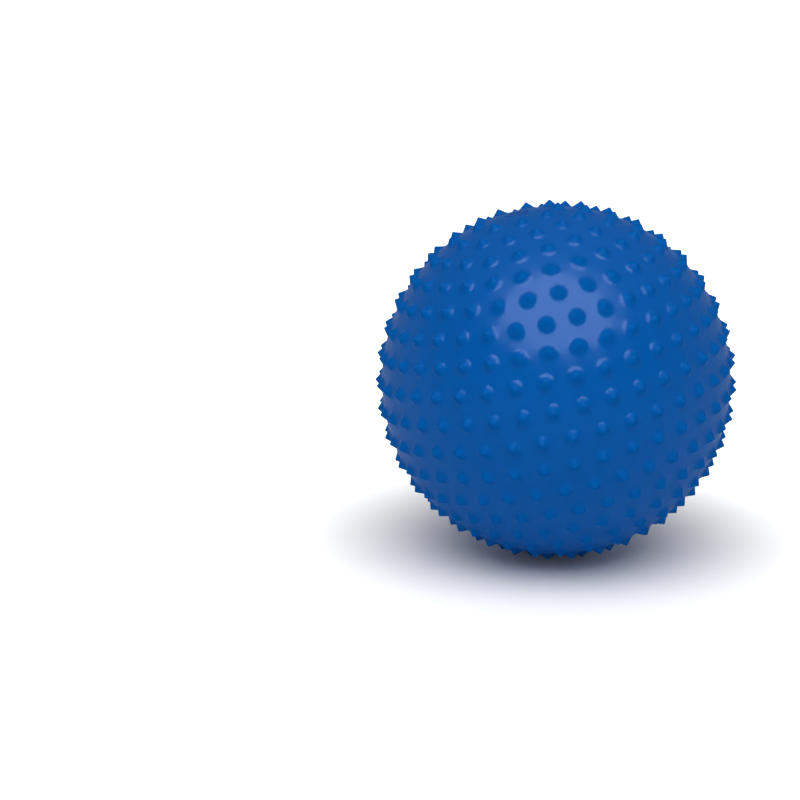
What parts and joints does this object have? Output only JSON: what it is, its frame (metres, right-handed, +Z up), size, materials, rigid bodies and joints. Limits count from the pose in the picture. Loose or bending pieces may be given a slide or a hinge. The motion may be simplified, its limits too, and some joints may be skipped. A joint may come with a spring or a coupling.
{
  "type": "sensory ball",
  "caption": "Inflatable hollow ball covered all over in rings of soft pointed knobs, with a push-in stopper in its air valve, for tactile and motor play.",
  "frame": {"origin": "centre of the ball", "axes": "+Z up, with the ball as it lies in use; the ring axis, which is also the valve's axis, leans 13.7 degrees from +Z towards -X; -Y is the side seen in the picture"},
  "size_m": [0.2797, 0.2792, 0.2798],
  "materials": {
    "skin": "soft plasticised PVC, satin",
    "seat": "soft plasticised PVC, moulded",
    "stopper": "harder PVC, moulded, satin"
  },
  "bodies": {
    "ball": {"ball_skin": "skin", "valve_seat": "seat"},
    "stopper": {"valve_stopper": "stopper"}
  },
  "joints": [
    {"name": "stopper_pull", "type": "slide", "parent": "ball", "child": "stopper", "axis": [-0.2368, 0, 0.9715], "range_m": [0, 0.018]}
  ]
}
